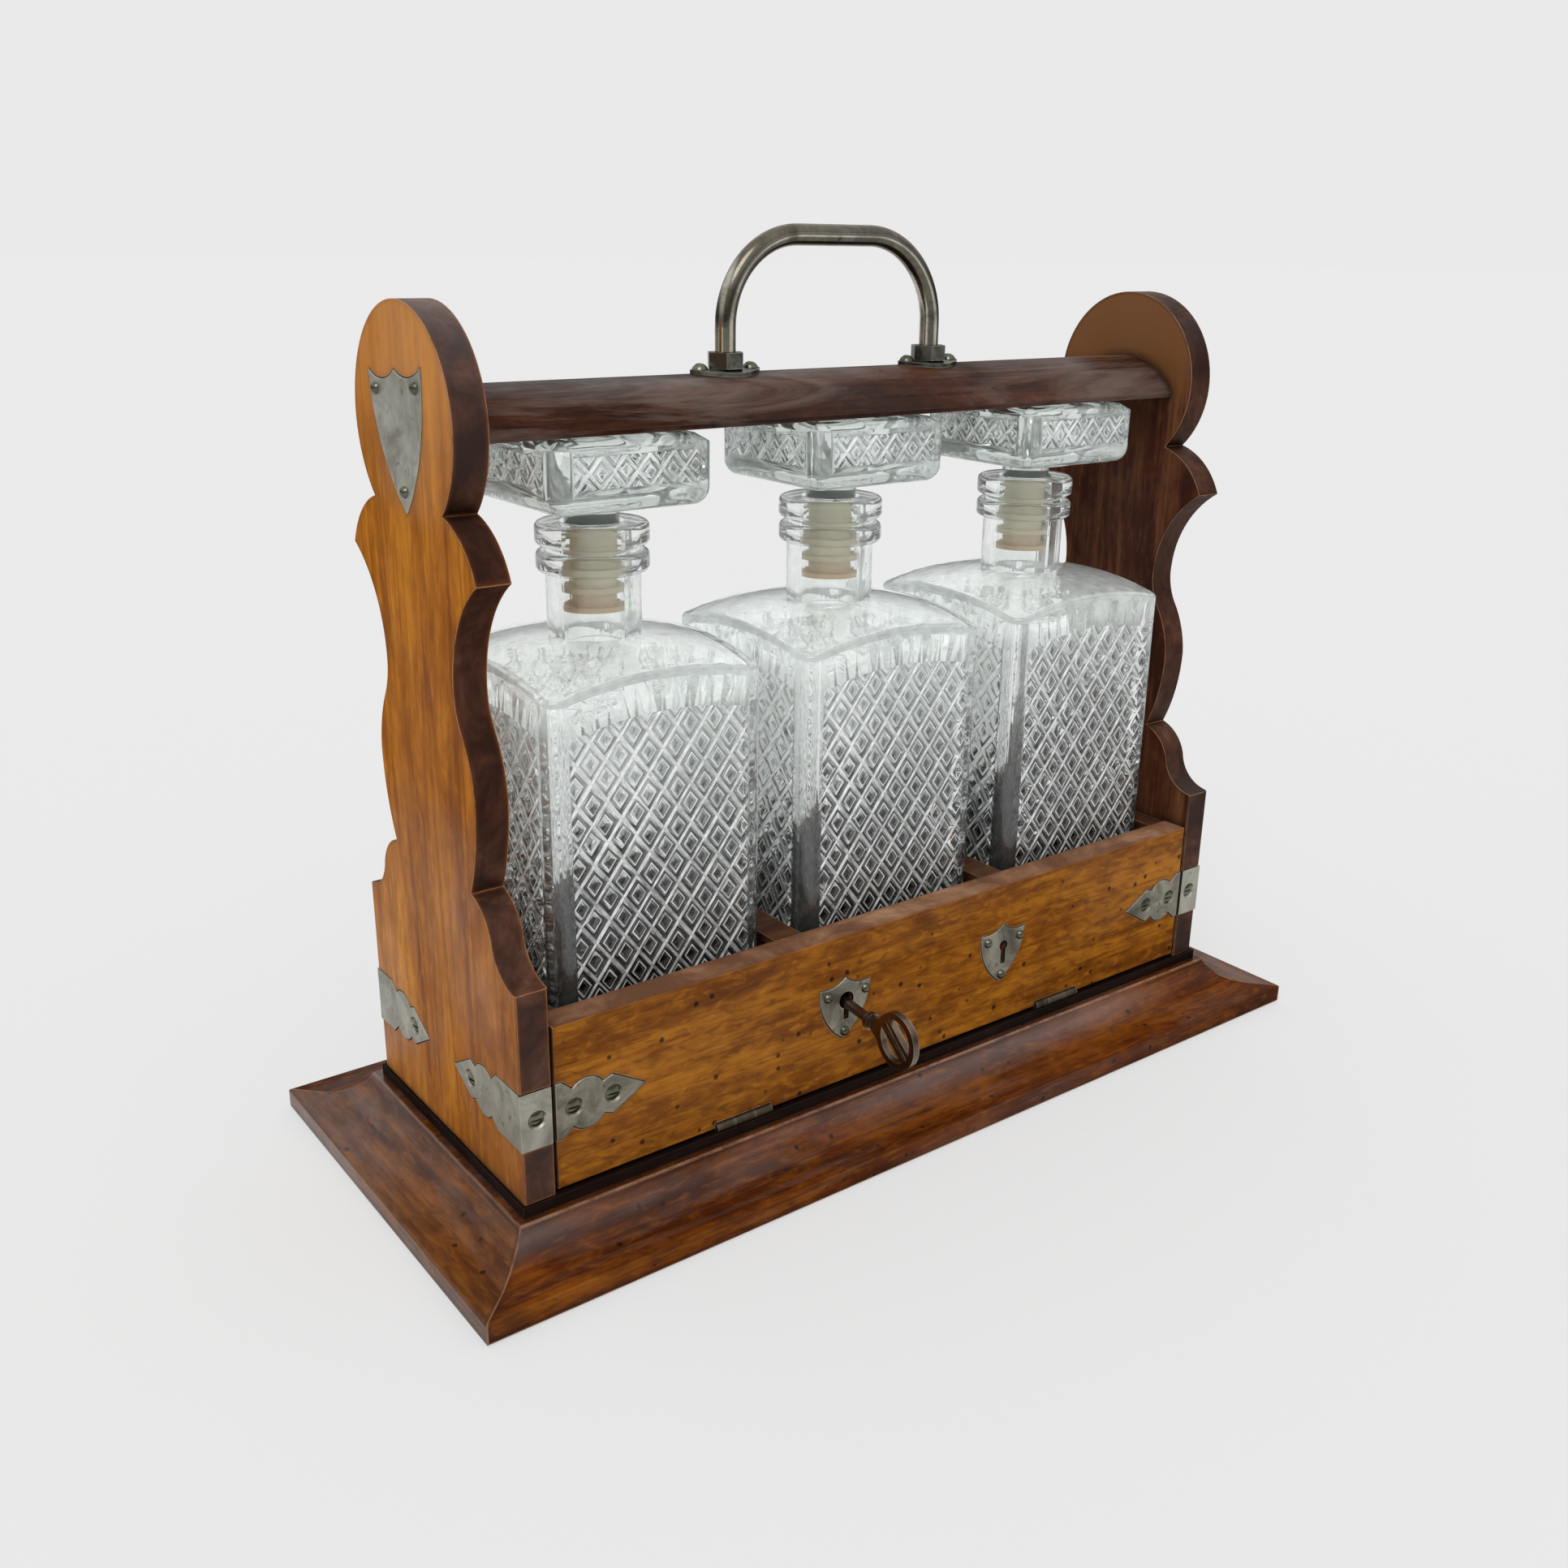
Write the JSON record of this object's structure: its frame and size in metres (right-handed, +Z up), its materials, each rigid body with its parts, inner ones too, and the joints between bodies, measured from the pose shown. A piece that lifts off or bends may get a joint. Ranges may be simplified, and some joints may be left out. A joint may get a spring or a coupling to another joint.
{
  "type": "antique tantalus",
  "caption": "Wooden decanter stand with square pressed-glass decanters locked under a top bar, a fall front with locks and a key, inlaid metal mounts and a bail handle on a moulded base",
  "frame": {"origin": "middle of the base's underside", "axes": "+X to the right along the length as seen from the front, +Y to the rear, +Z up; the fall front faces -Y"},
  "size_m": [0.364, 0.1678, 0.3036],
  "materials": {
    "base_wood": "polished, reddish dark brown, worn",
    "case_wood": "polished, warm orange-brown, darker at the edges",
    "bar_wood": "polished, very dark brown with light scratches",
    "baize": "dark green baize",
    "nickel_plate": "nickel silver, satin, tarnished at the edges",
    "nickel_screws": "nickel silver, worn bright",
    "handle_metal": "nickel silver, polished, with dark streaks",
    "hinge_brass": "dull brass",
    "key_steel": "old bright steel, browned",
    "decanter_glass": "clear pressed glass, faintly grey-green",
    "seal": "cream, matte, ribbed"
  },
  "bodies": {
    "tantalus_frame": {"back_panel": "case_wood", "base_baize": "baize", "base_core_board": "base_wood", "base_moulding_back": "base_wood", "base_moulding_front": "base_wood", "base_moulding_left": "base_wood", "base_moulding_right": "base_wood", "corner_strap_front_left": "nickel_plate", "corner_strap_front_right": "nickel_plate", "corner_strap_rear_left": "nickel_plate", "corner_strap_rear_right": "nickel_plate", "corner_strap_screws": "nickel_screws", "decanter_left": "decanter_glass", "decanter_middle": "decanter_glass", "decanter_right": "decanter_glass", "divider_left": "case_wood", "divider_right": "case_wood", "end_liner_left": "case_wood", "end_liner_right": "case_wood", "floor_baize": "baize", "floor_board": "case_wood", "handle": "handle_metal", "handle_collars": "handle_metal", "handle_plate_left": "handle_metal", "handle_plate_right": "handle_metal", "handle_plate_screws": "nickel_screws", "hinge_leaves_fixed": "hinge_brass", "hinge_pins": "hinge_brass", "lock_staple_left": "hinge_brass", "lock_staple_right": "hinge_brass", "plaque_pins": "nickel_screws", "plinth_board": "base_wood", "shield_plaque_left": "nickel_plate", "shield_plaque_right": "nickel_plate", "side_left": "case_wood", "side_right": "case_wood", "staple_and_hinge_screws": "hinge_brass", "top_bar": "bar_wood"},
    "fall_front": {"front_panel": "case_wood", "panel_leaf_left": "nickel_plate", "panel_leaf_right": "nickel_plate", "panel_leaf_screws": "nickel_screws", "escutcheon_left": "nickel_plate", "escutcheon_right": "nickel_plate", "escutcheon_pins": "nickel_screws", "lock_case_left": "hinge_brass", "lock_case_right": "hinge_brass", "lock_and_hinge_screws": "hinge_brass", "hinge_leaves_moving": "hinge_brass"},
    "left_bolt": {"bolt_left": "hinge_brass"},
    "right_bolt": {"bolt_right": "hinge_brass"},
    "key": {"key": "key_steel"},
    "stopper_left_with_seal": {"stopper_left": "decanter_glass", "seal_left": "seal"},
    "stopper_middle_with_seal": {"stopper_middle": "decanter_glass", "seal_middle": "seal"},
    "stopper_right_with_seal": {"stopper_right": "decanter_glass", "seal_right": "seal"}
  },
  "joints": [
    {"name": "front_fall", "type": "hinge", "parent": "tantalus_frame", "child": "fall_front", "pos_m": [0, -0.0522, 0.0227], "axis": [1, 0, 0], "range_deg": [0, 62]},
    {"name": "key_turn", "type": "hinge", "parent": "fall_front", "child": "key", "pos_m": [-0.031, -0.0421, 0.0537], "axis": [0, -0.9952, -0.0976], "range_deg": [0, 360]},
    {"name": "bolt_left_slide", "type": "slide", "parent": "fall_front", "child": "left_bolt", "axis": [-1, 0, 0], "range_m": [0, 0.0055]},
    {"name": "bolt_right_slide", "type": "slide", "parent": "fall_front", "child": "right_bolt", "axis": [-1, 0, 0], "range_m": [0, 0.0055]},
    {"name": "stopper_left_turn", "type": "hinge", "parent": "tantalus_frame", "child": "stopper_left_with_seal", "pos_m": [-0.0944, 0.0013, 0.2015], "axis": [0, 0, 1], "continuous": true},
    {"name": "stopper_middle_turn", "type": "hinge", "parent": "tantalus_frame", "child": "stopper_middle_with_seal", "pos_m": [0, 0.0013, 0.2015], "axis": [0, 0, 1], "continuous": true},
    {"name": "stopper_right_turn", "type": "hinge", "parent": "tantalus_frame", "child": "stopper_right_with_seal", "pos_m": [0.0944, 0.0013, 0.2015], "axis": [0, 0, 1], "continuous": true}
  ],
  "couplings": [
    {"joint": "bolt_left_slide", "follows": "key_turn", "m_per_rad": 0.00087535}
  ]
}
